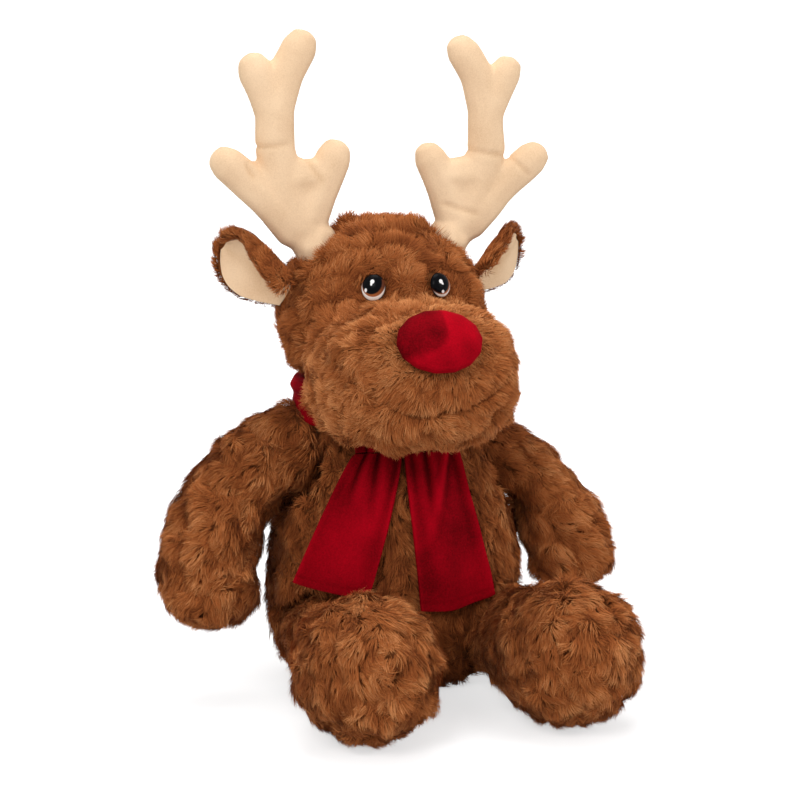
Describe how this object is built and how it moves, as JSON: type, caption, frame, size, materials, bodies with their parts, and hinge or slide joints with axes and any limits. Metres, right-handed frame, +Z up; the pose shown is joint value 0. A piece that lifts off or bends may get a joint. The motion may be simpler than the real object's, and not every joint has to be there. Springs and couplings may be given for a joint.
{
  "type": "plush deer",
  "caption": "Sitting plush deer with stuffed antlers, cupped ears, a velour nose and a scarf; its head, limbs, ears and antlers bend at their roots.",
  "frame": {"origin": "middle of the flat patch of the torso that the deer sits on", "axes": "+Z up through the neck, -Y the way the deer faces, +X to the deer's own left"},
  "size_m": [0.261, 0.2279, 0.3547],
  "materials": {
    "plush": "long-pile reddish brown plush",
    "velour_cream": "short-nap cream velour",
    "velour_red": "short-nap crimson velour",
    "eye_plastic": "glossy domed plastic with a brown iris",
    "washer_plastic": "moulded",
    "stuffing": "loose polyester fibre"
  },
  "bodies": {
    "torso": {"torso_cover": "plush", "torso_filling": "stuffing", "scarf_band": "velour_red"},
    "head": {"head_cover": "plush", "head_filling": "stuffing", "muzzle_cover": "plush", "muzzle_filling": "stuffing", "nose_cover": "velour_red", "nose_filling": "stuffing", "eye_right": "eye_plastic", "eye_left": "eye_plastic", "eye_washer_right": "washer_plastic", "eye_washer_left": "washer_plastic"},
    "ear_right": {"ear_right_back": "plush", "ear_right_lining": "velour_cream"},
    "ear_left": {"ear_left_back": "plush", "ear_left_lining": "velour_cream"},
    "antler_right": {"antler_right_cover": "velour_cream", "antler_right_filling": "stuffing"},
    "antler_left": {"antler_left_cover": "velour_cream", "antler_left_filling": "stuffing"},
    "arm_right": {"arm_right_cover": "plush", "arm_right_filling": "stuffing"},
    "arm_left": {"arm_left_cover": "plush", "arm_left_filling": "stuffing"},
    "leg_right": {"leg_right_cover": "plush", "leg_right_sole": "plush", "leg_right_filling": "stuffing"},
    "leg_left": {"leg_left_cover": "plush", "leg_left_sole": "plush", "leg_left_filling": "stuffing"},
    "scarf_tail_right": {"scarf_tail_right": "velour_red"},
    "scarf_tail_left": {"scarf_tail_left": "velour_red"}
  },
  "joints": [
    {"name": "head_turn", "type": "hinge", "parent": "torso", "child": "head", "pos_m": [0, 0, 0.162], "axis": [0, 0, 1], "range_deg": [-20, 20], "stiffness_Nm_per_rad": 0.8},
    {"name": "ear_right_flop", "type": "hinge", "parent": "head", "child": "ear_right", "pos_m": [-0.06518, 0.00555, 0.22172], "axis": [0.2989, -0.6019, 0.7405], "range_deg": [-12, 12], "stiffness_Nm_per_rad": 0.08},
    {"name": "ear_left_flop", "type": "hinge", "parent": "head", "child": "ear_left", "pos_m": [0.05518, 0.00555, 0.22172], "axis": [-0.2989, -0.6019, 0.7405], "range_deg": [-12, 12], "stiffness_Nm_per_rad": 0.08},
    {"name": "antler_right_bend", "type": "hinge", "parent": "head", "child": "antler_right", "pos_m": [-0.042, 0.004, 0.24151], "axis": [1, 0, 0], "range_deg": [-12, 12], "stiffness_Nm_per_rad": 0.4},
    {"name": "antler_left_bend", "type": "hinge", "parent": "head", "child": "antler_left", "pos_m": [0.032, 0.004, 0.24151], "axis": [1, 0, 0], "range_deg": [-12, 12], "stiffness_Nm_per_rad": 0.4},
    {"name": "arm_right_swing", "type": "hinge", "parent": "torso", "child": "arm_right", "pos_m": [-0.059, 0, 0.127], "axis": [-1, 0, 0], "range_deg": [-30, 75], "stiffness_Nm_per_rad": 0.5},
    {"name": "arm_left_swing", "type": "hinge", "parent": "torso", "child": "arm_left", "pos_m": [0.057, 0, 0.12], "axis": [-1, 0, 0], "range_deg": [-30, 75], "stiffness_Nm_per_rad": 0.5},
    {"name": "leg_right_lift", "type": "hinge", "parent": "torso", "child": "leg_right", "pos_m": [-0.047, -0.026, 0.031], "axis": [-1, 0, 0], "range_deg": [-20, 5], "stiffness_Nm_per_rad": 2},
    {"name": "leg_left_lift", "type": "hinge", "parent": "torso", "child": "leg_left", "pos_m": [0.047, -0.026, 0.031], "axis": [-1, 0, 0], "range_deg": [-20, 5], "stiffness_Nm_per_rad": 2},
    {"name": "scarf_tail_right_lift", "type": "hinge", "parent": "torso", "child": "scarf_tail_right", "pos_m": [-0.033, -0.04734, 0.1363], "axis": [-1, 0, 0], "range_deg": [0, 22]},
    {"name": "scarf_tail_left_lift", "type": "hinge", "parent": "torso", "child": "scarf_tail_left", "pos_m": [0.005, -0.0512, 0.1363], "axis": [-1, 0, 0], "range_deg": [0, 22]}
  ]
}
